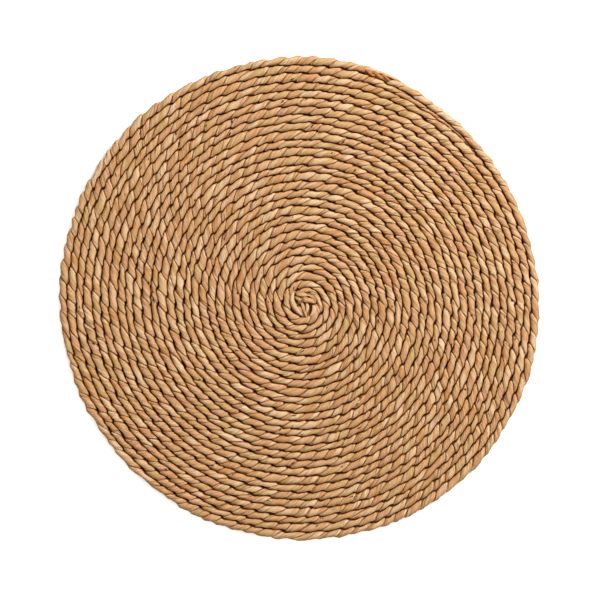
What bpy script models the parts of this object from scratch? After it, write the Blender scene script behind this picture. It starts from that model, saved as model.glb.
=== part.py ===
"""Round chair seat pad: one long twisted straw rope, coiled flat and sewn to itself.

The rope starts in a curled knot, winds outwards clockwise as seen from above, and
thins to a pointed tail. A second length of rope starts beside that tail and closes
the edge as one border turn. Lines of thread on the underside hold the turns
together, and each one pulls a shallow notch into the rope where it crosses it.

All sizes are in metres. The pad lies on z = 0 with its outline centred on x = y = 0.
"""

import math

import bmesh
import bpy
from mathutils import Vector

TURN = math.tau

# Rope
ROPE_WIDTH = 0.00645  # from the middle of one gap between turns to the next
ROPE_HEIGHT = 0.0076
ROPE_FLAT = 0.0030  # flattened strip along the rope's top and underside
GAP = 0.0003  # left between pieces that touch

# Coil
COIL_START = math.radians(65.0)  # direction in which the rope leaves the knot
KNOT_RADIUS = 0.0068  # at the knot's narrow side
WHOLE_TURNS = 27
TAIL_DIRECTION = math.radians(40.0)  # where the main rope's tail comes to its point
TAIL_SPAN = math.radians(32.0)  # stretch that the tail and the border's start share
TAIL_TIP = 0.2  # thickness of the tail's tip, as a share of the full rope
CENTRE_DRIFT = Vector((-0.0018, 0.0029))  # how far the coil has wandered by its last turn
OVAL = 0.0078  # stretch along the long axis, and the same squeeze across it
OVAL_DIRECTION = math.radians(-40.0)

# Sections in a full turn: fewer near the middle, where a step of angle is short
FINE_STEPS = 48
COARSE_STEPS = 24
COARSE_TURNS = 9

# Thread
THREAD_THICKNESS = 0.0008
THREAD_STEPS = (2, 10, 16, 22, 28, 36, 44)  # fine steps at which a line runs outwards
THREAD_FIRST_TURN = 3

TAIL_END = WHOLE_TURNS * TURN + COIL_START - TAIL_DIRECTION
TAIL_START = TAIL_END - TAIL_SPAN
NOTCH_DEPTH = THREAD_THICKNESS + 2 * GAP


def clear_scene():
    for thing in list(bpy.data.objects):
        bpy.data.objects.remove(thing, do_unlink=True)


def make_material(name, colour, roughness):
    material = bpy.data.materials.new(name)
    material.use_nodes = True
    shader = material.node_tree.nodes["Principled BSDF"]
    shader.inputs["Base Color"].default_value = (*colour, 1.0)
    shader.inputs["Roughness"].default_value = roughness
    shader.inputs["Metallic"].default_value = 0.0
    return material


def lane_edge(angle):
    """Point on the line between two turns, at a running angle along the coil."""
    direction = COIL_START - angle
    radius = KNOT_RADIUS + ROPE_WIDTH * angle / TURN
    radius *= 1 + OVAL * math.cos(2 * (direction - OVAL_DIRECTION))
    drift = CENTRE_DRIFT * (angle / TAIL_END)
    return drift + radius * Vector((math.cos(direction), math.sin(direction)))


def main_lane(angle):
    """Inner and outer edge of the main rope's lane, which thins along the tail."""
    inner = lane_edge(angle)
    worn = max(0.0, (angle - TAIL_START) / TAIL_SPAN)
    outer = inner.lerp(lane_edge(angle + TURN), 1 - worn * (1 - TAIL_TIP))
    return inner, outer


def border_lane(angle):
    """Inner and outer edge of the border's lane, outside the tail and then past it."""
    if angle > TAIL_END:
        return lane_edge(angle), lane_edge(angle + TURN)
    inner = main_lane(angle)[1]
    return inner, inner + lane_edge(angle + TURN) - lane_edge(angle)


def end_trim(angle):
    """Running angle that leaves half a gap at the end of a length of rope."""
    return GAP / 2 / (lane_edge(angle).length + ROPE_WIDTH / 2)


def step_angles(first, last, steps):
    """Running angles from first to last, with the whole steps that lie between."""
    step = TURN / steps
    whole = range(math.floor(first / step), math.ceil(last / step) + 1)
    inside = [n * step for n in whole if first + step / 5 < n * step < last - step / 5]
    return [first, *inside, last]


def crosses_thread(angle):
    """Whether a line of thread runs under the rope at this running angle."""
    step = angle / TURN * FINE_STEPS
    return abs(step - round(step)) < 0.01 and round(step) % FINE_STEPS in THREAD_STEPS


def rope_section(lane, angle, fullness=1.0):
    """Six corners of the rope in its lane, flat on top and underneath."""
    inner, outer = lane
    across = (outer - inner).normalized()
    near = inner + across * GAP / 2
    far = outer - across * GAP / 2
    middle = (near + far) / 2
    flat = across * ROPE_FLAT / 2 * ((outer - inner).length / ROPE_WIDTH)
    centre = ROPE_HEIGHT / 2
    top = centre * (1 + fullness)
    bottom = centre * (1 - fullness)
    if crosses_thread(angle):
        bottom = max(bottom, NOTCH_DEPTH)
    return [
        (*near, centre),
        (*(middle - flat), top),
        (*(middle + flat), top),
        (*far, centre),
        (*(middle + flat), bottom),
        (*(middle - flat), bottom),
    ]


def finish_piece(name, bm, material):
    bmesh.ops.recalc_face_normals(bm, faces=bm.faces)
    mesh = bpy.data.meshes.new(name)
    bm.to_mesh(mesh)
    bm.free()
    mesh.materials.append(material)
    piece = bpy.data.objects.new(name, mesh)
    bpy.context.scene.collection.objects.link(piece)
    return piece


def sweep(name, sections, material):
    """One closed solid through a row of sections that have the same corners."""
    bm = bmesh.new()
    rings = []
    for section in sections:
        ring = [bm.verts.new(corner) for corner in section]
        rings.append([bm.edges.new(pair) for pair in zip(ring, ring[1:] + ring[:1])])
    for ring, following in zip(rings, rings[1:]):
        bmesh.ops.bridge_loops(bm, edges=ring + following)
    for ring in (rings[0], rings[-1]):
        bmesh.ops.contextual_create(bm, geom=ring)
    return finish_piece(name, bm, material)


def make_knot(material):
    """The curled start of the rope: a snail shape that fills the first turn."""
    trim = end_trim(0.0)
    bm = bmesh.new()
    outline = []
    for angle in step_angles(-trim, TURN - trim, COARSE_STEPS):
        edge = lane_edge(angle)
        outline.append(bm.verts.new((*(edge - edge.normalized() * GAP / 2), 0.0)))
    underside = bm.faces.new(outline)
    lifted = bmesh.ops.extrude_face_region(bm, geom=[underside])["geom"]
    top = [part for part in lifted if isinstance(part, bmesh.types.BMVert)]
    bmesh.ops.translate(bm, verts=top, vec=(0.0, 0.0, ROPE_HEIGHT))
    return finish_piece("centre_knot", bm, material)


def make_main_turn(number, material):
    """One turn of the main rope; the last one stops where the tail begins."""
    first = (number - 1) * TURN
    last = min(number * TURN, TAIL_START)
    steps = COARSE_STEPS if number <= COARSE_TURNS else FINE_STEPS
    angles = step_angles(first + end_trim(first), last - end_trim(last), steps)
    sections = [rope_section(main_lane(angle), angle) for angle in angles]
    return sweep(f"rope_turn_{number:02d}", sections, material)


def make_tail(material):
    """The main rope's pointed end, which lies inside the start of the border."""
    sections = []
    for angle in step_angles(TAIL_START + end_trim(TAIL_START), TAIL_END, FINE_STEPS):
        thinned = (angle - TAIL_START) / TAIL_SPAN * (1 - TAIL_TIP)
        sections.append(rope_section(main_lane(angle), angle, 1 - thinned))
    return sweep("rope_tail", sections, material)


def make_border(material):
    """The second length of rope: once around the edge, from beside the tail."""
    first = TAIL_START + end_trim(TAIL_START)
    last = TAIL_START + TURN - end_trim(TAIL_START)
    beside_tail = step_angles(first, TAIL_END, FINE_STEPS)
    past_tail = step_angles(TAIL_END, last, FINE_STEPS)[1:]
    sections = [rope_section(border_lane(a), a) for a in beside_tail + past_tail]
    return sweep("border_rope", sections, material)


def make_thread_line(number, step, material):
    """A straight line of thread in the notches, from an inner turn to the border."""
    part_turn = step / FINE_STEPS
    start = lane_edge((THREAD_FIRST_TURN - 1 + part_turn) * TURN)
    border_turn = math.ceil(TAIL_START / TURN - part_turn)
    inner, outer = border_lane((border_turn + part_turn) * TURN)
    end = (inner + outer) / 2
    along = (end - start).normalized()
    side = Vector((-along.y, along.x)) * THREAD_THICKNESS / 2
    low = GAP
    high = GAP + THREAD_THICKNESS
    sections = []
    for point in (start, end):
        left = point + side
        right = point - side
        sections.append([(*right, low), (*left, low), (*left, high), (*right, high)])
    return sweep(f"thread_line_{number}", sections, material)


def centre_outline(pieces):
    """Carries every piece on one empty that puts the outline's middle on the origin."""
    corners = [vertex.co for piece in pieces for vertex in piece.data.vertices]
    middle = [(min(c[i] for c in corners) + max(c[i] for c in corners)) / 2 for i in (0, 1)]
    carrier = bpy.data.objects.new("pad_carrier", None)
    carrier.location = (-middle[0], -middle[1], 0.0)
    bpy.context.scene.collection.objects.link(carrier)
    for piece in pieces:
        piece.parent = carrier


def main():
    clear_scene()
    rope = make_material("straw_rope", (0.50, 0.28, 0.125), 0.85)
    border = make_material("border_straw_rope", (0.52, 0.29, 0.13), 0.85)
    thread = make_material("waxed_thread", (0.62, 0.50, 0.33), 0.6)
    pieces = [make_knot(rope)]
    pieces += [make_main_turn(number, rope) for number in range(1, WHOLE_TURNS + 1)]
    pieces += [make_tail(rope), make_border(border)]
    pieces += [make_thread_line(n, step, thread) for n, step in enumerate(THREAD_STEPS, 1)]
    centre_outline(pieces)
    bpy.context.view_layer.update()


main()
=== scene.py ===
"""Round chair seat pad of twisted straw rope, coiled flat and sewn underneath."""

import math

import bpy
import numpy as np
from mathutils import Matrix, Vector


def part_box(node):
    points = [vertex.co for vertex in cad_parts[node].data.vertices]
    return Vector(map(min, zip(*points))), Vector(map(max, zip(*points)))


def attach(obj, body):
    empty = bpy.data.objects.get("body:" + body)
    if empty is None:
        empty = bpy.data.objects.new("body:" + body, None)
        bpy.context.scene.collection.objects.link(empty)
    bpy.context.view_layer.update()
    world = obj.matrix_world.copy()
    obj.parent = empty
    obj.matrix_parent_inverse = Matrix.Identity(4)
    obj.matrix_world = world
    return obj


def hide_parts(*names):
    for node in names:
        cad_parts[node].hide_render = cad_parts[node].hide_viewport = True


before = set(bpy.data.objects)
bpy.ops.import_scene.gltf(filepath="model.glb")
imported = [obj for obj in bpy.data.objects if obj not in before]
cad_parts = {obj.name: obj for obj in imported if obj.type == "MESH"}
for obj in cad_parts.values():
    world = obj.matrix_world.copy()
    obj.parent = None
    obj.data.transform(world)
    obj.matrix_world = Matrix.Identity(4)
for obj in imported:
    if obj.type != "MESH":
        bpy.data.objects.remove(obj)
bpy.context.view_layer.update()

# ---------------------------------------------------------------------------------------------
# The main rope: flat dried straw leaves twisted into two strands, laid around each other in one
# length of about 17 m. It is wound outwards clockwise and pressed side to side, and each turn
# of the coil is a piece here.
# ---------------------------------------------------------------------------------------------

TURN = math.tau
ROPE_WIDTH = 0.00645
ROPE_HEIGHT = 0.0076
GAP = 0.0003
COIL_START = math.radians(65.0)
KNOT_RADIUS = 0.0068
WHOLE_TURNS = 27
CENTRE_DRIFT = np.array((-0.0018, 0.0029))
OVAL = 0.0078
OVAL_DIRECTION = math.radians(-40.0)
TAIL_DIRECTION = math.radians(40.0)
TAIL_SPAN = math.radians(32.0)
TAIL_END = WHOLE_TURNS * TURN + COIL_START - TAIL_DIRECTION
TAIL_START = TAIL_END - TAIL_SPAN

MAIN_ROPE = 100  # seeds of the two ropes
BORDER_ROPE = 300
LAY = 0.0262  # one full twist of the rope
LEAN = 0.36  # how much faster the twist turns where the strands cross than where they lie
FULL_WIDTH = 1.15  # width the rope would take if its neighbours didn't press it
SIDE_FILL = 0.36  # how much the pressed leaves spread at the rope's mid height
INTERLOCK = 0.00040  # how far one turn's bulge pushes into its neighbour's groove
POCKET = 0.00075  # how far the side draws back where one strand dives under the other
RING_STEP = 0.0010
RING_POINTS = 22


def plain_lane_edge(angle):
    """The coil's line between two turns, in the coil's own coordinates, before it wavers."""
    angle = np.asarray(angle, float)
    direction = COIL_START - angle
    radius = KNOT_RADIUS + ROPE_WIDTH * angle / TURN
    radius = radius * (1 + OVAL * np.cos(2 * (direction - OVAL_DIRECTION)))
    outward = np.stack((np.cos(direction), np.sin(direction)), -1)
    return CENTRE_DRIFT * (angle / TAIL_END)[..., None] + radius[..., None] * outward


def knot_outline():
    edge = plain_lane_edge(np.linspace(0.0, TURN, 25))
    return edge - edge / np.linalg.norm(edge, axis=-1, keepdims=True) * GAP / 2


knot_low, knot_high = (np.array(corner[:2]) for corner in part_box("centre_knot"))
coil_place = (knot_low + knot_high - knot_outline().min(0) - knot_outline().max(0)) / 2


def rope_run(angle):
    """Length of rope from the knot to a running angle."""
    return (KNOT_RADIUS + ROPE_WIDTH / 2) * angle + ROPE_WIDTH * angle**2 / (2 * TURN)


def angle_at(run):
    """The running angle at a length of rope from the knot."""
    straight = KNOT_RADIUS + ROPE_WIDTH / 2
    curl = ROPE_WIDTH / (2 * TURN)
    return (np.sqrt(straight**2 + 4 * curl * run) - straight) / (2 * curl)


def waver(place, spacing, seed):
    """A smooth random curve from -1 to 1, with a new value every spacing."""
    steps = np.asarray(place, float) / spacing + 64.0
    first = np.floor(steps).astype(int)
    share = steps - first
    share = share * share * (3 - 2 * share)
    values = np.random.default_rng(seed).uniform(-1, 1, first.max() + 2)
    return values[first] * (1 - share) + values[first + 1] * share


def twist_at(run, rope):
    """How far a rope's two strands have turned about each other."""
    even = -TURN * run / LAY + 2.0 * waver(run, 0.070, rope) + 0.95 * waver(run, 0.019, rope + 1)
    return even + LEAN / 2 * np.sin(2 * even)


def step_at(angle, side, rope):
    """Where a rope's inner (-1) or outer (1) side is in the rhythm of its strands."""
    return -2 * twist_at(rope_run(angle), rope) - side * math.radians(120.0)


def bulge(angle, side, rope=MAIN_ROPE):
    """How far a rope stands out at its inner (-1) or outer (1) side, from -1 to 1.

    Each strand leans outwards as it passes over the top, so both sides move outwards
    slowly along a strand and step back where the next one comes up."""
    step = step_at(angle, side, rope)
    return -side * (np.sin(step) + 0.3 * np.sin(2 * step))


def pocket(angle, side, rope=MAIN_ROPE):
    """How far a rope's side draws back as one strand dives under the next."""
    return POCKET * ((1 + np.cos(step_at(angle, side, rope) - 0.3)) / 2) ** 5


def lane_edge(angle):
    """The line between two turns as it really runs, wavering with the rope's lumps."""
    direction = COIL_START - np.asarray(angle, float)
    outward = np.stack((np.cos(direction), np.sin(direction)), -1)
    run = rope_run(np.asarray(angle, float))
    nudge = 0.00042 * waver(run, 0.011, 11) + 0.00068 * waver(run, 0.034, 12)
    thick_knot = 0.0026 * np.exp(-(((angle - 0.35) / 1.45) ** 2))
    second_turn = 0.0010 * np.exp(-(((angle - 6.1) / 1.0) ** 2))
    return plain_lane_edge(angle) + (nudge + thick_knot + second_turn)[..., None] * outward


def add_attribute(mesh, name, values):
    made = mesh.attributes.new(name, "FLOAT", "POINT")
    made.data.foreach_set("value", np.ascontiguousarray(values, np.float32).ravel())


def thread_ends(node):
    """Inner and outer end of a line of thread under the pad."""
    corners = np.array([vertex.co[:2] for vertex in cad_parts[node].data.vertices])
    order = np.argsort(np.linalg.norm(corners - coil_place, axis=1))
    half = len(order) // 2
    return corners[order[:half]].mean(0), corners[order[half:]].mean(0)


thread_lines = {f"thread_line_{number}": thread_ends(f"thread_line_{number}") for number in range(1, 8)}
NOTCH = 0.00105  # how far the rope's underside is pulled in by a line of thread


def underside(place):
    """Lowest height of the rope: it is pulled in where a line of thread crosses under it."""
    lowest = np.full(place.shape[:-1], 0.00005)
    for start, end in thread_lines.values():
        span = np.linalg.norm(end - start)
        way = (end - start) / span
        offset = place - start
        along = offset @ way
        aside = offset @ np.array((-way[1], way[0]))
        crossed = (along > -0.002) & (along < span + 0.002)
        lowest = np.maximum(lowest, crossed * NOTCH * np.exp(-((aside / 0.0026) ** 2)))
    return lowest


def strand_outline(fatness):
    """A strand's half-round section beside the rope's axis, for a rope of radius 1."""
    turn = np.linspace(-np.pi, np.pi, RING_POINTS, endpoint=False)
    middle = 0.45
    disc_middle = 0.16
    disc_radius = 0.87
    offset = middle - disc_middle
    to_disc = -offset * np.cos(turn) + np.sqrt(disc_radius**2 - (offset * np.sin(turn)) ** 2)
    inward = np.maximum(-np.cos(turn), 1e-3)
    to_plane = (middle - 0.015 + fatness[:, None]) / inward
    reach = (to_disc**-5.0 + to_plane**-5.0) ** (-1 / 5.0)
    return turn, middle + reach * np.cos(turn), reach * np.sin(turn)


def strand_rings(length, strand):
    """The points of one strand's surface, ring by ring, and what the straw shows there."""
    run = length["run"]
    rope = length["rope"]
    twist = twist_at(run, rope) + strand * np.pi
    side = 1 - 2 * strand
    fatness = side * 0.17 * waver(run, 0.021, rope + 2)
    turn, out, round_ = strand_outline(fatness)
    plump = 1.0 + 0.085 * waver(run, 0.012, rope + 3 + strand)
    leaf_turn = turn[None, :] + 0.9 * TURN * waver(run, 0.11, rope + 5 + strand)[:, None]
    leaf_turn = leaf_turn + TURN * run[:, None] / 0.06
    overlap = (leaf_turn / TURN * 2) % 1.0
    dent = waver(run[:, None] / 0.030 + 5.0 * np.sin(leaf_turn), 1.0, rope + 7)
    swell = plump[:, None] * (1 + 0.07 * (overlap - 0.5) + 0.055 * dent)
    cos_twist = np.cos(twist)[:, None]
    sin_twist = np.sin(twist)[:, None]
    across = (out * cos_twist - round_ * sin_twist) * swell
    upward = (out * sin_twist + round_ * cos_twist) * swell
    # Painted shade: darker towards the valley between the two strands.
    valley_shade = np.clip((0.86 - np.hypot(across, upward)) / 0.22, 0, 1)
    valley_shade = valley_shade * (0.52 + 0.48 * np.clip(np.abs(across) * 1.6 - 0.5, 0, 1))

    inner = length["inner"]
    outer = length["outer"]
    width = np.linalg.norm(outer - inner, axis=1)[:, None]
    outward = (outer - inner) / width
    pressed = np.where(across > 0, length["outer_pressed"], 1.0)
    spread = FULL_WIDTH + SIDE_FILL * pressed * (1 - np.minimum(np.abs(upward), 1)) ** 2
    free = across * spread * width / 2
    free = free * np.where(across > 0, length["scallop"][:, None], 1.0)
    reach = np.where(across > 0, length["outer_reach"][:, None], length["inner_reach"][:, None])
    hollow = np.where(across > 0, length["outer_pocket"][:, None], length["inner_pocket"][:, None])
    reach = reach + width / 2 - hollow * np.clip(np.abs(upward) * 2 - 0.2, 0, 1)
    held = 1.004 * free / (1 + np.abs(free / reach) ** 12) ** (1 / 12)
    tight = 0.78 + 0.22 * waver(run, 0.0065, rope + 9 + strand)[:, None]
    # Painted shade: darker where neighbouring turns press together, and in the pockets where one strand
    # dives under the other.
    seam_shade = pressed * tight * np.clip((np.abs(free) / reach - 0.745) / 0.24, 0, 1)
    seam_shade = np.maximum(seam_shade, pressed * np.clip(hollow / POCKET * 1.6 - 0.4, 0, 1) * (np.abs(across) > 0.62))
    place = ((inner + outer) / 2)[:, None, :] + outward[:, None, :] * held[..., None]
    place = place + coil_place
    height = ROPE_HEIGHT / 2 * (1 + length["fullness"][:, None] * upward)
    height = np.maximum(height, underside(place))

    leaf = np.floor(leaf_turn / TURN * 2)
    lift = np.floor(twist[:, None] / TURN - 0.75)
    key = leaf * 0.37 + lift * 0.61 + strand * 0.5 + rope * 0.13
    return {
        "points": np.concatenate((place, height[..., None]), -1),
        "along": np.broadcast_to(run[:, None] * 1.1 + strand * 31.0, across.shape),
        "around": (turn / TURN * 0.017)[None, :] + strand * 0.4 + run[:, None] * 0.12,
        "shade": np.modf(np.abs(np.sin(key * 12.9898) * 43758.5453))[0],
        "warmth": np.modf(np.abs(np.sin(key * 78.233) * 12543.123))[0],
        "groove_shade": np.maximum(valley_shade, seam_shade),
    }


def strand_maps(rings, row, rows_in_strand, rows):
    """Map corners for one strand: its surface cut into strips that lie above each other."""
    per_row = math.ceil((rings - 1) / rows_in_strand)
    ring = np.arange(rings - 1)[:, None]
    point = np.arange(RING_POINTS)[None, :]
    left = (ring % per_row) / per_row
    low = row + ring // per_row + 0.04 + 0.92 * point / RING_POINTS
    wide = 1 / per_row
    high = 0.92 / RING_POINTS
    corners = np.empty((rings - 1, RING_POINTS, 4, 2))
    for index, (step_along, step_up) in enumerate(((0, 0), (1, 0), (1, 1), (0, 1))):
        corners[..., index, 0] = 0.003 + 0.994 * (left + step_along * wide)
        corners[..., index, 1] = (low + step_up * high) / rows
    return corners.reshape(-1, 2)


def rope_mesh(name, length):
    """Both strands of a length of rope as closed tubes, with their map and straw values."""
    run = length["run"]
    rings = len(run)
    strands = [strand_rings(length, strand) for strand in (0, 1)]
    values = {
        key: np.concatenate([strand[key].reshape(rings * RING_POINTS, -1) for strand in strands])
        for key in strands[0]
    }
    ring = np.arange(rings - 1)[:, None] * RING_POINTS
    point = np.arange(RING_POINTS)[None, :]
    following = (point + 1) % RING_POINTS
    quads = np.stack(
        (ring + point, ring + RING_POINTS + point, ring + RING_POINTS + following, ring + following),
        -1,
    ).reshape(-1, 4)
    first_cap = np.arange(RING_POINTS)
    last_cap = (rings - 1) * RING_POINTS + np.arange(RING_POINTS)[::-1]
    rows_in_strand = math.ceil(math.sqrt(1.1 * (run[-1] - run[0]) / (2 * 0.019)))
    rows = 2 * rows_in_strand + 1
    loops = []
    sizes = []
    maps = []
    for strand in (0, 1):
        base = strand * rings * RING_POINTS
        loops += [quads.ravel() + base, first_cap + base, last_cap + base]
        sizes += [np.full(len(quads), 4), [RING_POINTS, RING_POINTS]]
        maps.append(strand_maps(rings, strand * rows_in_strand, rows_in_strand, rows))
        circle = -TURN * np.arange(RING_POINTS) / RING_POINTS
        for cap in (0, 1):
            middle = np.array(((0.2 + 0.4 * strand + 0.2 * cap), (rows - 0.5) / rows))
            around_cap = np.stack((np.cos(circle), np.sin(circle)), -1) * 0.35 / rows
            maps.append(middle + around_cap)
    loops = np.concatenate(loops).astype(np.int32)
    sizes = np.concatenate(sizes).astype(np.int32)

    mesh = bpy.data.meshes.new(name)
    mesh.vertices.add(len(values["points"]))
    mesh.vertices.foreach_set("co", values["points"].astype(np.float32).ravel())
    mesh.loops.add(len(loops))
    mesh.loops.foreach_set("vertex_index", loops)
    mesh.polygons.add(len(sizes))
    mesh.polygons.foreach_set("loop_start", np.concatenate(([0], np.cumsum(sizes)[:-1])).astype(np.int32))
    mesh.update(calc_edges=True)
    strips = mesh.uv_layers.new(name="OFBake")
    strips.data.foreach_set("uv", np.concatenate(maps).astype(np.float32).ravel())
    for key in ("along", "around", "shade", "warmth", "groove_shade"):
        add_attribute(mesh, key, values[key])
    mesh.validate()
    mesh.shade_smooth()
    mesh.set_sharp_from_angle(angle=math.radians(70.0))
    return mesh


class Signal:
    """A socket in a material. Arithmetic on it adds Math nodes, node() adds any other."""

    def __init__(self, tree, socket=None):
        self.tree = tree
        self.socket = socket

    def node(self, kind, settings=None, inputs=None, output=0):
        """Adds a node: its settings first, then the values or links of its sockets."""
        made = self.tree.nodes.new(kind)
        for name, value in (settings or {}).items():
            setattr(made, name, value)
        for name, value in (inputs or {}).items():
            if isinstance(value, Signal):
                self.tree.links.new(value.socket, made.inputs[name])
            else:
                made.inputs[name].default_value = value
        return Signal(self.tree, made.outputs[output] if made.outputs else None)

    def maths(self, operation, *values):
        return self.node("ShaderNodeMath", {"operation": operation}, dict(enumerate(values)))

    def __add__(self, other):
        return self.maths("ADD", self, other)

    __radd__ = __add__

    def __sub__(self, other):
        return self.maths("SUBTRACT", self, other)

    def __rsub__(self, other):
        return self.maths("SUBTRACT", other, self)

    def __mul__(self, other):
        return self.maths("MULTIPLY", self, other)

    __rmul__ = __mul__

    def rise(self, low, high):
        """0 below low, 1 above high, and smooth between."""
        settings = {"interpolation_type": "SMOOTHSTEP"}
        inputs = {"Value": self, "From Min": low, "From Max": high}
        return self.node("ShaderNodeMapRange", settings, inputs)

    def mix(self, first, second):
        """The first colour where this is 0, the second where it is 1."""
        inputs = {"Factor": self, 6: first, 7: second}
        return self.node("ShaderNodeMix", {"data_type": "RGBA"}, inputs, 2)


def attribute(start, name):
    return start.node("ShaderNodeAttribute", {"attribute_name": name}, output=2)


def straw_material(name, tan, painted_flank_shade):
    """Dried leaf: tan, orange, greenish or nearly white, with fibres, ribs and folds.

    Each leaf keeps its own shade and warmth along its length. Its upper face is painted paler and its
    flanks darker as painted light and shade, and painted shade darkens its folds and grooves, beyond a
    painted pale highlight at their edge."""
    material = bpy.data.materials.new(name)
    material.use_nodes = True
    tree = material.node_tree
    tree.nodes.clear()
    start = Signal(tree)
    along = attribute(start, "along")
    around = attribute(start, "around")
    shade = attribute(start, "shade")
    warmth = attribute(start, "warmth")
    groove_shade = attribute(start, "groove_shade")
    facing = start.node("ShaderNodeNewGeometry", output=1)
    dot = {"operation": "DOT_PRODUCT"}
    upward = start.node("ShaderNodeVectorMath", dot, {0: facing, 1: (0.0, 0.0, 1.0)}, 1)

    def streaks(per_metre_along, per_metre_around, detail):
        place = start.node(
            "ShaderNodeCombineXYZ",
            inputs={0: along * per_metre_along, 1: around * per_metre_around, 2: shade * 9.0},
        )
        return start.node(
            "ShaderNodeTexNoise",
            inputs={"Vector": place, "Scale": 1.0, "Detail": detail, "Roughness": 0.6},
        )

    fibres = streaks(150.0, 2600.0, 2.0)
    ribs = streaks(70.0, 900.0, 2.0)
    patches = streaks(90.0, 160.0, 3.0)
    folds = streaks(60.0, 420.0, 1.0)

    orange = (0.44, 0.185, 0.050, 1.0)
    pale = (0.74, 0.55, 0.36, 1.0)
    green = (0.42, 0.300, 0.100, 1.0)
    pink = (0.47, 0.225, 0.120, 1.0)
    shade_russet = (0.34, 0.115, 0.018, 1.0)
    umber = (0.20, 0.080, 0.022, 1.0)
    shade_brown = (0.062, 0.0130, 0.0014, 1.0)
    colour = (warmth.rise(0.70, 1.0) * 0.8).mix((*tan, 1.0), orange)
    colour = (warmth.rise(0.45, 0.0) * 0.65).mix(colour, green)
    colour = (shade.rise(0.60, 1.0) * 0.6).mix(colour, pale)
    colour = (shade.rise(0.40, 0.0) * 0.7).mix(colour, pink)
    colour = (patches.rise(0.52, 0.74) * 0.45).mix(colour, pale)
    colour = (patches.rise(0.45, 0.27) * 0.30).mix(colour, orange)
    colour = (ribs.rise(0.50, 0.70) * 0.50).mix(colour, pale)
    colour = (ribs.rise(0.48, 0.30) * 0.25).mix(colour, umber)
    colour = (fibres.rise(0.50, 0.28) * 0.55).mix(colour, umber)
    # Painted shade in the creases of the folds, which the bump also sinks.
    colour = (folds.rise(0.36, 0.27) * 0.55).mix(colour, shade_brown)
    # Painted light and shade by which way the surface faces: sideways flanks darker and more saturated,
    # upward faces a little paler.
    colour = (upward.rise(0.95, 0.45) * 0.62).mix(colour, (*painted_flank_shade, 1.0))
    colour = (upward.rise(0.86, 1.0) * 0.10).mix(colour, pale)
    # A painted highlight: a pale rim just beside the grooves, where the leaf edges catch the light.
    painted_edge_highlight = groove_shade.rise(0.0, 0.10) * groove_shade.rise(0.34, 0.16) * ribs.rise(0.40, 0.56)
    colour = (painted_edge_highlight * 0.55).mix(colour, pale)
    # Painted shade: russet, then dark brown, deeper in the grooves and seams.
    colour = (groove_shade.rise(0.12, 0.48) * 0.70).mix(colour, shade_russet)
    colour = (groove_shade.rise(0.40, 0.90) * 0.97).mix(colour, shade_brown)

    height = fibres * 0.35 + ribs * 0.9 + folds.rise(0.24, 0.40) * 0.8
    bump = start.node(
        "ShaderNodeBump", inputs={"Height": height, "Strength": 0.9, "Distance": 0.0004}
    )
    shader = start.node(
        "ShaderNodeBsdfPrincipled",
        inputs={
            "Base Color": colour,
            "Roughness": 0.66 + 0.2 * fibres,
            "Specular IOR Level": 0.07,
            "Normal": bump,
        },
    )
    start.node("ShaderNodeOutputMaterial", inputs={"Surface": shader})
    return material


straw = straw_material("straw_rope", tan=(0.515, 0.283, 0.119), painted_flank_shade=(0.40, 0.165, 0.042))


def show_piece(name, mesh, material, slot, *nodes):
    """Gives a mesh its material, and its place among or instead of the CAD nodes."""
    mesh.materials.append(material)
    piece = bpy.data.objects.new(name, mesh)
    bpy.context.scene.collection.objects.link(piece)
    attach(piece, "root")
    if nodes:
        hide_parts(*nodes)


def ring_runs(first, last):
    low = rope_run(first)
    high = rope_run(last)
    return np.linspace(low, high, max(2, math.ceil((high - low) / RING_STEP)) + 1)


for number in range(0, WHOLE_TURNS + 1):
    first = (number - 1) * TURN if number else -0.17 * TURN
    run = ring_runs(first, min(number * TURN, TAIL_START))
    angle = angle_at(run)
    outside = np.where(
        angle + TURN < TAIL_END, bulge(angle + TURN, -1), bulge(angle + TURN, -1, BORDER_ROPE)
    )
    length = {
        "rope": MAIN_ROPE,
        "run": run,
        "inner": lane_edge(angle),
        "outer": lane_edge(angle + TURN),
        "inner_reach": INTERLOCK * (bulge(angle, -1) - bulge(angle - TURN, 1)),
        "outer_reach": INTERLOCK * (bulge(angle, 1) - outside),
        "inner_pocket": pocket(angle, -1),
        "outer_pocket": pocket(angle, 1),
        "outer_pressed": 1.0,
        "scallop": np.ones_like(run),
        "fullness": np.clip(0.6 + (run - run[0]) / 0.008, 0, 1) if number == 0 else np.ones_like(run),
    }
    node = f"rope_turn_{number:02d}" if number else "centre_knot"
    mesh = rope_mesh(f"straw_{node}", length)
    show_piece(mesh.name, mesh, straw, "straw_rope", node)

# ---------------------------------------------------------------------------------------------
# The tail: over its last stretch the rope is thinned leaf by leaf to a point, so that the
# border can close over it without a step in the pad's outline.
# ---------------------------------------------------------------------------------------------

TAIL_TIP = 0.12


def tail_outer(angle):
    """The tail's outer side, which is also the border's inner side."""
    worn = np.clip((angle - TAIL_START) / TAIL_SPAN, 0, 1)
    inner = lane_edge(angle)
    return inner + (lane_edge(angle + TURN) - inner) * (1 - worn * (1 - TAIL_TIP))[:, None]


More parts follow.
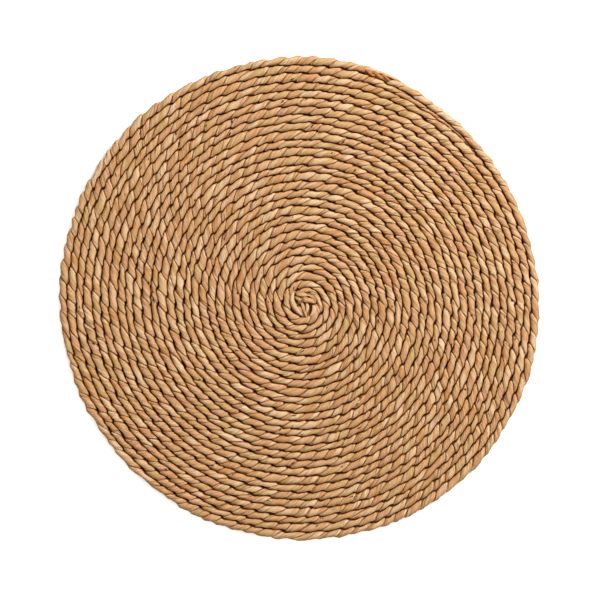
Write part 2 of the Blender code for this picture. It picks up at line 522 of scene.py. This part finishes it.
run = ring_runs(TAIL_START, TAIL_END)
angle = angle_at(run)
full = 1 - (angle - TAIL_START) / TAIL_SPAN * (1 - TAIL_TIP)
length = {
    "rope": MAIN_ROPE,
    "run": run,
    "inner": lane_edge(angle),
    "outer": tail_outer(angle),
    "inner_reach": INTERLOCK * (bulge(angle, -1) - bulge(angle - TURN, 1)) * full,
    "outer_reach": INTERLOCK * (bulge(angle, 1) - bulge(angle, -1, BORDER_ROPE)) * full,
    "inner_pocket": pocket(angle, -1) * full,
    "outer_pocket": pocket(angle, 1) * full,
    "outer_pressed": 1.0,
    "scallop": np.ones_like(run),
    "fullness": 0.2 + 0.8 * full,
}
mesh = rope_mesh("straw_tail", length)
show_piece(mesh.name, mesh, straw, "straw_rope", "rope_tail")

# ---------------------------------------------------------------------------------------------
# The border: a second, shorter length of the same rope, sewn once around the edge. It starts
# beside the tail, and its end is tucked in where it started.
# ---------------------------------------------------------------------------------------------

run = ring_runs(TAIL_START, TAIL_START + TURN)
angle = angle_at(run)
past_tail = np.clip((angle - TAIL_END) / math.radians(10.0), 0, 1)
loose = 0.40 + 0.60 * np.exp(-(((angle - TAIL_START - 5.1) / 0.75) ** 2))
lobe = np.abs(np.sin((step_at(angle, 1, BORDER_ROPE) - 0.3) / 2)) ** 0.6
scallop = 0.07 * bulge(angle, 1, BORDER_ROPE) + 0.30 * (lobe - 0.85)
inner = tail_outer(angle) * (1 - past_tail)[:, None] + lane_edge(angle) * past_tail[:, None]
inside = np.where(angle < TAIL_END, bulge(angle, 1), bulge(angle - TURN, 1))
length = {
    "rope": BORDER_ROPE,
    "run": run,
    "inner": inner,
    "outer": inner + lane_edge(angle + TURN) - lane_edge(angle),
    "inner_reach": INTERLOCK * (bulge(angle, -1, BORDER_ROPE) - inside),
    "outer_reach": np.full_like(run, 0.004),
    "inner_pocket": pocket(angle, -1, BORDER_ROPE),
    "outer_pocket": np.zeros_like(run),
    "scallop": 0.975 + loose * scallop + 0.04 * waver(run, 0.017, 21),
    "outer_pressed": 0.0,
    "fullness": 1 - 0.42 * np.exp(-(((angle - TAIL_START) / 0.075) ** 2))
    - 0.25 * np.exp(-(((angle - TAIL_START - TURN) / 0.04) ** 2)),
}
border_straw = straw_material("border_straw_rope", tan=(0.525, 0.294, 0.129), painted_flank_shade=(0.30, 0.160, 0.065))
mesh = rope_mesh("straw_border", length)
show_piece(mesh.name, mesh, border_straw, "border_straw_rope", "border_rope")

# ---------------------------------------------------------------------------------------------
# The heart of the knot: the leaf ends that the rope was started from, folded over and pushed
# into the middle of the first curl. They stand on edge, with pockets between them darkened by painted
# shade.
# ---------------------------------------------------------------------------------------------


def leaf_mesh(name, leaves, tones):
    """Curled leaves in one mesh. Each is a row of points with a width, thickness and side."""
    points = []
    faces = []
    values = {key: [] for key in ("along", "around", "shade", "warmth", "groove_shade")}
    around = np.linspace(0, TURN, 10, endpoint=False)
    for number, (path, side, width, thickness, shade_amount) in enumerate(leaves):
        path = np.asarray(path, float)
        side = np.broadcast_to(np.asarray(side, float), path.shape)
        ahead = np.gradient(path, axis=0)
        up = np.cross(ahead, side)
        up = up / np.linalg.norm(up, axis=1, keepdims=True)
        side = side / np.linalg.norm(side, axis=1, keepdims=True)
        first = len(points)
        run = np.concatenate(([0], np.cumsum(np.linalg.norm(np.diff(path, axis=0), axis=1))))
        for index in range(len(path)):
            for turn in around:
                offset = side[index] * np.cos(turn) * width[index] / 2
                offset = offset + up[index] * np.sin(turn) * thickness[index] / 2
                points.append(path[index] + offset)
                values["along"].append(run[index] + number)
                values["around"].append(np.cos(turn) * width[index] / 2 + 0.01 * number)
                values["shade"].append(tones[number][0])
                values["warmth"].append(tones[number][1])
                # Each leaf's groove value is painted shade, given only above the underside.
                values["groove_shade"].append(shade_amount[index] if points[-1][2] > 0.0012 else 0.0)
        count = len(around)
        for index in range(len(path) - 1):
            row = first + index * count
            for turn in range(count):
                after = (turn + 1) % count
                faces.append((row + turn, row + after, row + count + after, row + count + turn))
        faces.append([first + turn for turn in range(count)][::-1])
        faces.append([first + (len(path) - 1) * count + turn for turn in range(count)])
    mesh = bpy.data.meshes.new(name)
    mesh.from_pydata([tuple(point) for point in points], [], faces)
    for key, value in values.items():
        add_attribute(mesh, key, np.array(value))
    mesh.validate()
    mesh.shade_smooth()
    return mesh


def through(first, middle, last, count=14):
    """A smooth path through three places in the knot, in millimetres from its middle."""
    share = np.linspace(0, 1, count)[:, None]
    path = (2 * share - 1) * (share - 1) * np.array(first)
    path = path + 4 * share * (1 - share) * np.array(middle)
    path = path + share * (2 * share - 1) * np.array(last)
    path = path / 1000
    path[:, :2] += coil_place
    return path


def tapered(size, count=14, tip=0.25):
    """A size that swells from both ends of a leaf."""
    share = np.linspace(-1, 1, count)
    return size * (tip + (1 - tip) * (1 - share**2) ** 0.5)


def laid_leaf(first, middle, last, width, tilt=0.0, body=0.5, shade_amount=0.0):
    """A leaf with its face up, turned by tilt degrees; body is its thickness over its width, and the last
    value is how much painted shade it gets.
    """
    path = through(first, middle, last)
    ahead = (path[-1] - path[0])[:2]
    flat = np.array((-ahead[1], ahead[0], 0.0)) / np.linalg.norm(ahead)
    tilt = math.radians(tilt)
    side = flat * math.cos(tilt) + np.array((0.0, 0.0, math.sin(tilt)))
    size = tapered(width / 1000)
    return path, side, size, size * body, np.full(14, shade_amount)


def small_curl(x, y, radius, start, end):
    """A leaf tip rolled on itself, standing on edge."""
    turn = np.radians(np.linspace(start, end, 14))
    path = np.stack((x + radius * np.cos(turn), y + radius * np.sin(turn), 0 * turn + 6.2), -1) / 1000
    path[:, :2] += coil_place
    return path, (0.0, 0.0, 1.0), tapered(0.0030, tip=0.6), tapered(0.0006, tip=0.6), np.zeros(14)


PALE_LEAF = (0.95, 0.45)
GREEN_LEAF = (0.70, 0.08)
PINK_LEAF = (0.08, 0.50)
TAN_LEAF = (0.50, 0.55)
ORANGE_LEAF = (0.50, 0.95)

heart = [
    (laid_leaf((-7.8, 10.6, 6.6), (-9.0, 1.0, 6.9), (-0.9, -9.3, 6.6), 4.6, 20), PALE_LEAF),
    (laid_leaf((-6.6, 8.4, 6.0), (-1.6, 8.4, 6.9), (4.4, 7.6, 5.8), 4.8, -25), TAN_LEAF),
    (laid_leaf((-7.2, 6.6, 5.6), (-4.2, 4.4, 6.4), (-0.8, 2.2, 6.0), 3.2, -20), GREEN_LEAF),
    (laid_leaf((-2.6, 6.0, 5.6), (0.4, 5.0, 6.6), (3.0, 5.4, 6.2), 2.6, -30), TAN_LEAF),
    (laid_leaf((-1.0, 2.4, 6.2), (4.2, 3.4, 7.0), (9.2, 1.4, 6.0), 4.2, -20), TAN_LEAF),
    (laid_leaf((-2.2, 2.6, 7.2), (3.4, 7.2, 7.7), (8.8, 2.0, 7.0), 0.7, 0), PALE_LEAF),
    (laid_leaf((2.0, 7.6, 6.0), (7.2, 6.0, 6.4), (9.6, 1.2, 6.0), 2.4, 15), PINK_LEAF),
    (laid_leaf((-4.4, -1.6, 6.3), (-2.5, -5.4, 6.9), (0.2, -9.6, 6.0), 3.3, 10), GREEN_LEAF),
    (laid_leaf((-6.8, -1.8, 5.6), (-5.0, -5.2, 6.2), (-1.6, -9.0, 5.6), 3.2, 25), PINK_LEAF),
    (laid_leaf((-1.8, 2.4, 5.8), (-0.7, -1.8, 6.6), (-0.2, -6.0, 5.8), 3.0, -10), PINK_LEAF),
    (laid_leaf((1.9, 1.6, 6.0), (2.7, -2.8, 7.0), (1.4, -7.4, 6.0), 3.0, 10), PALE_LEAF),
    (laid_leaf((0.8, -4.0, 6.0), (1.2, -7.4, 6.9), (2.8, -10.6, 6.0), 2.0, -10), GREEN_LEAF),
    (laid_leaf((7.0, 0.4, 6.0), (8.2, -4.6, 7.0), (4.8, -10.0, 6.0), 4.0, -15), PALE_LEAF),
    (laid_leaf((3.2, -7.6, 4.8), (4.4, -9.4, 5.4), (6.6, -9.0, 5.0), 2.2, 0), ORANGE_LEAF),
    # This low leaf is partly darkened with painted shade.
    (laid_leaf((5.6, -1.4, 5.2), (8.6, -0.6, 5.8), (10.4, 0.2, 5.2), 1.5, 30, 0.5, 0.3), TAN_LEAF),
    (laid_leaf((9.8, 0.4, 6.0), (9.9, -3.0, 6.4), (8.4, -6.4, 6.0), 1.8, -20), GREEN_LEAF),
    # Thin strips coloured almost wholly as groove shade: painted shade lines between the upper leaves.
    (laid_leaf((-6.4, 3.4, 7.2), (-4.8, 1.4, 7.6), (-3.6, -1.2, 7.2), 0.8, 0, 0.5, 0.95), TAN_LEAF),
    (laid_leaf((-1.9, -3.4, 7.4), (-0.9, -6.0, 7.8), (0.3, -8.8, 7.2), 0.7, 0, 0.5, 0.95), TAN_LEAF),
    (laid_leaf((-2.6, 3.6, 7.2), (-0.4, 2.2, 7.8), (2.6, 0.8, 7.6), 0.7, 0, 0.5, 0.90), TAN_LEAF),
    (laid_leaf((4.6, -0.6, 7.4), (7.2, 0.0, 7.8), (9.6, 0.6, 7.2), 0.8, 0, 0.5, 0.90), TAN_LEAF),
    (laid_leaf((-1.6, 10.2, 7.2), (1.4, 9.6, 7.5), (4.0, 7.6, 7.2), 0.7, 0, 0.5, 0.90), TAN_LEAF),
    (small_curl(-5.4, -0.9, 1.2, 30, 330), PALE_LEAF),
    (small_curl(-3.4, 1.9, 0.9, 100, 380), TAN_LEAF),
    (small_curl(-7.4, 9.6, 0.8, -60, 200), PALE_LEAF),
]
# Rings of leaf low in the middle fill the hole, darkened with painted shade so that the pockets read brown.
for share in (0.08, 0.32, 0.56, 0.80):
    ring = lane_edge(np.linspace(0.0, TURN, 40)) * share + coil_place
    path = np.concatenate((ring, np.full((40, 1), 0.0026)), -1)
    size = np.full(40, 0.0048)
    heart.append(((path, (0.0, 0.0, 1.0), size, size * 0.8, np.full(40, 0.62)), TAN_LEAF))
mesh = leaf_mesh("leaf_ends_in_the_knot", [leaf for leaf, _ in heart], [tone for _, tone in heart])
show_piece(mesh.name, mesh, straw, "straw_rope")

# ---------------------------------------------------------------------------------------------
# Where the border closes: its last few centimetres are unlaid, twisted thin and pushed under
# the first leaf of its own start, which lies over the hollow as a dry flap.
# ---------------------------------------------------------------------------------------------


def beside(first, last, share_in, share_out, low, high, count=14):
    """A path in the border's lane, between two angles from the place where it closes."""
    angle = TAIL_START + TURN + np.linspace(first, last, count)
    inner = plain_lane_edge(angle)
    lane = plain_lane_edge(angle + TURN) - inner
    flat = inner + lane * np.linspace(share_in, share_out, count)[:, None] + coil_place
    return np.concatenate((flat, np.linspace(low, high, count)[:, None]), -1)


closing = beside(0.0, 0.0, 0.0, 1.0, 0.0, 0.0, 2)
outward = (closing[1] - closing[0]) / np.linalg.norm(closing[1] - closing[0])
wrung = []
# The wrung strands are partly darkened with painted shade.
for strand in (0, 1):
    path = beside(-0.046, 0.074, 0.36, 0.46, 0.0066, 0.0058, 16)
    turn = np.linspace(0, 1.6 * TURN, 16) + strand * math.pi
    path = path + 0.0011 * np.cos(turn)[:, None] * outward
    path[:, 2] += 0.0007 * np.sin(turn)
    wrung.append((path, outward, tapered(0.0030, 16, 0.4), tapered(0.0022, 16, 0.4), np.full(16, 0.36)))
flap_path = beside(-0.085, 0.112, 0.76, 0.74, 0.0064, 0.0054)
flap = (flap_path, outward, tapered(0.0030, 14, 0.1), tapered(0.0016, 14, 0.4), np.zeros(14))
# Thin strips coloured almost wholly as groove shade: painted shade in the hollow under the flap and before
# the border's start.
under_flap = beside(0.012, 0.088, 0.66, 0.50, 0.0070, 0.0064)
before_start = beside(-0.058, -0.006, 0.10, 0.40, 0.0070, 0.0072)
hollow_shade_strips = []
for path in (under_flap, before_start):
    hollow_shade_strips.append((path, outward, tapered(0.0013, 14, 0.1), tapered(0.0008, 14, 0.4), np.full(14, 0.97)))
closing_tones = [(0.45, 0.97), (0.30, 0.93), (0.80, 0.45), (0.5, 0.5), (0.5, 0.5)]
mesh = leaf_mesh("tucked_border_end", [*wrung, flap, *hollow_shade_strips], closing_tones)
show_piece(mesh.name, mesh, border_straw, "border_straw_rope")

# ---------------------------------------------------------------------------------------------
# Loose ends: short tips of leaf that have worked out of the twist all over the pad, some pale
# and some coloured with the dark brown of the grooves' shade. They lie in the grooves where one strand
# passes under the other.
# ---------------------------------------------------------------------------------------------

chance = np.random.default_rng(77)
tips = []
tip_tones = []
for _ in range(300):
    run = rope_run(TAIL_START) * chance.uniform(0.004, 1.0)
    angle = angle_at(run)
    inner = lane_edge(np.array([angle]))[0]
    outer = lane_edge(np.array([angle + TURN]))[0]
    across = (outer - inner) / np.linalg.norm(outer - inner)
    ahead = np.array((across[1], -across[0]))
    slant = math.radians(chance.uniform(10, 60))
    way = ahead * math.cos(slant) + across * math.sin(slant)
    reach = chance.uniform(0.0014, 0.0042)
    bend = chance.uniform(-0.35, 0.35)
    start = inner + (outer - inner) * chance.uniform(0.15, 0.55) + coil_place
    rise = chance.uniform(0.0000, 0.0007)
    share = np.linspace(0, 1, 8)
    flat = start + reach * (share[:, None] * way + bend * share[:, None] ** 2 * np.array((-way[1], way[0])))
    height = 0.0070 + chance.uniform(0.0, 0.0008) + rise * share**2
    side = (-way[1] * 0.8, way[0] * 0.8, chance.uniform(-0.6, 0.6))
    width = tapered(chance.uniform(0.0005, 0.0013), 8, 0.2)
    path = np.concatenate((flat, height[:, None]), -1)
    # Nearly half the tips take the dark brown of the painted groove shade.
    dark = chance.uniform() < 0.45
    tips.append((path, side, width, tapered(0.0003, 8, 0.4), np.full(8, 0.92 if dark else 0.0)))
    tip_tones.append((0.97, 0.5) if chance.uniform() < 0.6 else (0.5, chance.uniform()))
mesh = leaf_mesh("loose_leaf_tips", tips, tip_tones)
show_piece(mesh.name, mesh, straw, "straw_rope")

# ---------------------------------------------------------------------------------------------
# The thread: waxed two-ply cotton on the underside. Each line starts and ends in a knot and
# dips up between the turns that it binds.
# ---------------------------------------------------------------------------------------------

THREAD_THICKNESS = 0.0008


def thread_material():
    material = bpy.data.materials.new("waxed_thread")
    material.use_nodes = True
    tree = material.node_tree
    tree.nodes.clear()
    start = Signal(tree)
    place = start.node("ShaderNodeTexCoord", output=3)
    hairs = start.node("ShaderNodeTexNoise", inputs={"Vector": place, "Scale": 2400.0, "Detail": 3.0})
    dirt = start.node("ShaderNodeTexNoise", inputs={"Vector": place, "Scale": 90.0, "Detail": 2.0})
    colour = hairs.rise(0.35, 0.7).mix((0.47, 0.36, 0.22, 1.0), (0.72, 0.62, 0.45, 1.0))
    colour = (dirt.rise(0.5, 0.75) * 0.5).mix(colour, (0.34, 0.22, 0.11, 1.0))
    bump = start.node("ShaderNodeBump", inputs={"Height": hairs, "Strength": 0.6, "Distance": 0.0001})
    shader = start.node(
        "ShaderNodeBsdfPrincipled",
        inputs={"Base Color": colour, "Roughness": 0.45 + 0.2 * hairs, "Normal": bump},
    )
    start.node("ShaderNodeOutputMaterial", inputs={"Surface": shader})
    return material


waxed_thread = thread_material()
for node, (start, end) in thread_lines.items():
    span = np.linalg.norm(end - start)
    count = int(span / 0.0005)
    share = np.linspace(0, 1, count)
    flat = start + (end - start) * share[:, None]
    aside = np.array((-(end - start)[1], (end - start)[0])) / span
    height = 0.00058 + 0.00016 * np.cos(TURN * share * span / ROPE_WIDTH)
    plies = []
    for ply in (0, 1):
        turn = TURN * share * span / 0.0024 + ply * math.pi
        path = np.concatenate((flat, height[:, None]), -1)
        path[:, :2] += 0.00019 * np.cos(turn)[:, None] * aside
        path[:, 2] += 0.00019 * np.sin(turn)
        size = np.full(count, THREAD_THICKNESS * 0.52)
        plies.append((path, (*aside, 0.0), size, size, np.zeros(count)))
    for place in (start, end):
        turn = np.linspace(0, 2.4 * TURN, 40)
        loop = np.stack((0.0006 * np.cos(turn), 0.0006 * np.sin(turn), 0.0006 + 0.00007 * turn / TURN), -1)
        loop[:, :2] += place
        size = np.full(40, THREAD_THICKNESS * 0.62)
        plies.append((loop, (0.0, 0.0, 1.0), size, size, np.zeros(40)))
    mesh = leaf_mesh(f"stitched_{node}", plies, [(0.5, 0.5)] * len(plies))
    show_piece(mesh.name, mesh, waxed_thread, "waxed_thread", node)

# ---------------------------------------------------------------------------------------------
# The table under the pad, a broad soft light from the upper right, and the camera overhead.
# ---------------------------------------------------------------------------------------------

frame_width = 0.475
camera_height = 1.32

sheet = bpy.data.meshes.new("white_table")
reach = 6.0
sheet.from_pydata(
    [(-reach, -reach, 0.0), (reach, -reach, 0.0), (reach, reach, 0.0), (-reach, reach, 0.0)],
    [],
    [(0, 1, 2, 3)],
)
table = bpy.data.objects.new("white_table", sheet)
bpy.context.scene.collection.objects.link(table)
white = bpy.data.materials.new("white_table")
white.use_nodes = True
white.node_tree.nodes.clear()
start = Signal(white.node_tree)
place = start.node("ShaderNodeNewGeometry")
from_pad = start.node("ShaderNodeVectorMath", {"operation": "LENGTH"}, {0: place}, 1)
dot = {"operation": "DOT_PRODUCT"}
aside = start.node("ShaderNodeVectorMath", dot, {0: place, 1: (-0.707, -0.707, 0.0)}, 1)
lower_left = aside.rise(-0.05, 0.12)
# The table glows: painted light that fills in the pad's shadow, most on its lower-left side, and brightens
# the table far from the pad.
painted_table_glow = from_pad.rise(0.184, 0.195) * (0.10 + 0.75 * lower_left) + 0.75 * from_pad.rise(0.45, 1.0)
shader = start.node(
    "ShaderNodeBsdfPrincipled",
    inputs={
        "Base Color": (0.93, 0.93, 0.93, 1.0),
        "Roughness": 0.9,
        "Emission Color": painted_table_glow.mix((0.0, 0.0, 0.0, 1.0), (1.0, 1.0, 1.0, 1.0)),
        "Emission Strength": 1.0,
    },
)
start.node("ShaderNodeOutputMaterial", inputs={"Surface": shader})
sheet.materials.append(white)

softbox = bpy.data.lights.new("softbox", "AREA")
softbox.shape = "DISK"
softbox.size = 0.7
softbox.energy = 67.0
lamp = bpy.data.objects.new("softbox", softbox)
lamp.location = (1.12, 1.12, 1.45)
lamp.rotation_euler = (math.atan2(math.hypot(1.12, 1.12), 1.45), 0.0, math.radians(135.0))
bpy.context.scene.collection.objects.link(lamp)

room = bpy.data.worlds.new("room")
room.use_nodes = True
room.node_tree.nodes.clear()
start = Signal(room.node_tree)
direction = start.node("ShaderNodeTexCoord")
height = start.node("ShaderNodeVectorMath", dot, {0: direction, 1: (0.0, 0.0, 1.0)}, 1)
walls = height.rise(0.30, 0.12)
light = walls.mix((0.36, 0.306, 0.245, 1.0), (0.86, 0.84, 0.80, 1.0))
background = start.node("ShaderNodeBackground", inputs={"Color": light, "Strength": 1.0})
start.node("ShaderNodeOutputWorld", inputs={"Surface": background})
bpy.context.scene.world = room
bpy.context.scene.view_settings.view_transform = "Standard"

lens = bpy.data.cameras.new("overhead")
lens.sensor_width = 36.0
lens.lens = 36.0 * (camera_height - ROPE_HEIGHT) / frame_width
camera = bpy.data.objects.new("overhead", lens)
camera.location = (0.0004, -0.0011, camera_height)
bpy.context.scene.collection.objects.link(camera)
bpy.context.scene.camera = camera
